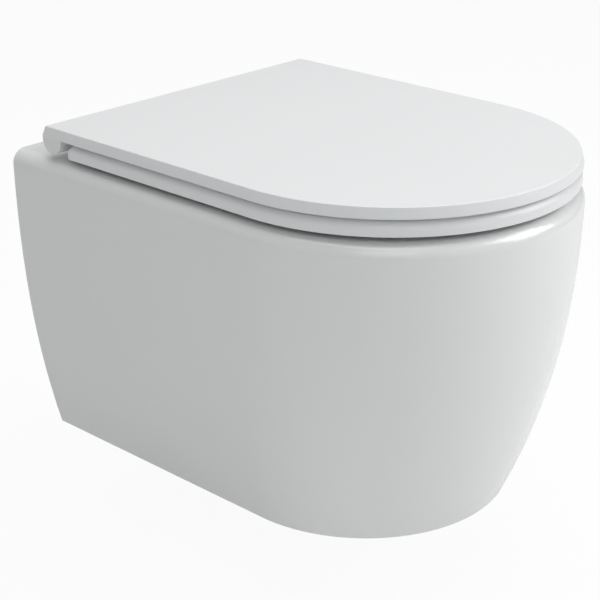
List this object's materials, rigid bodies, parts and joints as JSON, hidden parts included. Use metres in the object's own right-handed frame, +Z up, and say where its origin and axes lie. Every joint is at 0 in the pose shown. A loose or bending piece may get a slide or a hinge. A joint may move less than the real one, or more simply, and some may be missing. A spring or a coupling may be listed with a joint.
{
  "type": "wall hung toilet",
  "caption": "Wall hung toilet: a skirted ceramic pan, flat against the wall, with a slim D-shaped seat and a flat lid that turn on one axis at the rear.",
  "frame": {"origin": "midway between the two wall fixing holes, on the wall plane", "axes": "+Z up, the wall is the plane Y = 0 and the front points along -Y, +X along the wall"},
  "size_m": [0.368, 0.5, 0.3415],
  "materials": {
    "glaze": "high gloss white glaze",
    "duroplast": "polished white thermoset",
    "white_plastic": "moulded white plastic",
    "grey_plastic": "moulded grey plastic",
    "rubber": "matt black rubber",
    "pale_rubber": "matt white rubber",
    "steel": "satin stainless steel"
  },
  "bodies": {
    "pan": {"ceramic_pan": "glaze", "flush_diverter": "white_plastic", "diverter_oring": "rubber", "inlet_seal": "rubber", "fixing_sleeves": "steel", "clamp_inserts": "grey_plastic", "clamp_screws": "steel", "access_caps": "white_plastic", "hinge_body_left": "steel", "hinge_body_right": "steel", "hinge_gaskets": "pale_rubber", "hinge_bolts": "steel", "bolt_caps": "white_plastic", "expansion_plugs": "rubber", "hinge_washers": "grey_plastic", "hinge_nuts": "steel", "hinge_pins": "steel"},
    "seat": {"seat_ring": "duroplast", "seat_bushes": "grey_plastic", "seat_damper": "grey_plastic", "seat_buffers": "pale_rubber"},
    "lid": {"lid": "duroplast", "lid_bushes": "grey_plastic", "lid_damper": "grey_plastic", "lid_buffers": "pale_rubber"}
  },
  "joints": [
    {"name": "seat_hinge", "type": "hinge", "parent": "pan", "child": "seat", "pos_m": [0, -0.0564, 0.1], "axis": [-1, 0, 0], "range_deg": [0, 95]},
    {"name": "lid_hinge", "type": "hinge", "parent": "seat", "child": "lid", "pos_m": [0, -0.0564, 0.1], "axis": [-1, 0, 0], "range_deg": [0, 92]}
  ]
}
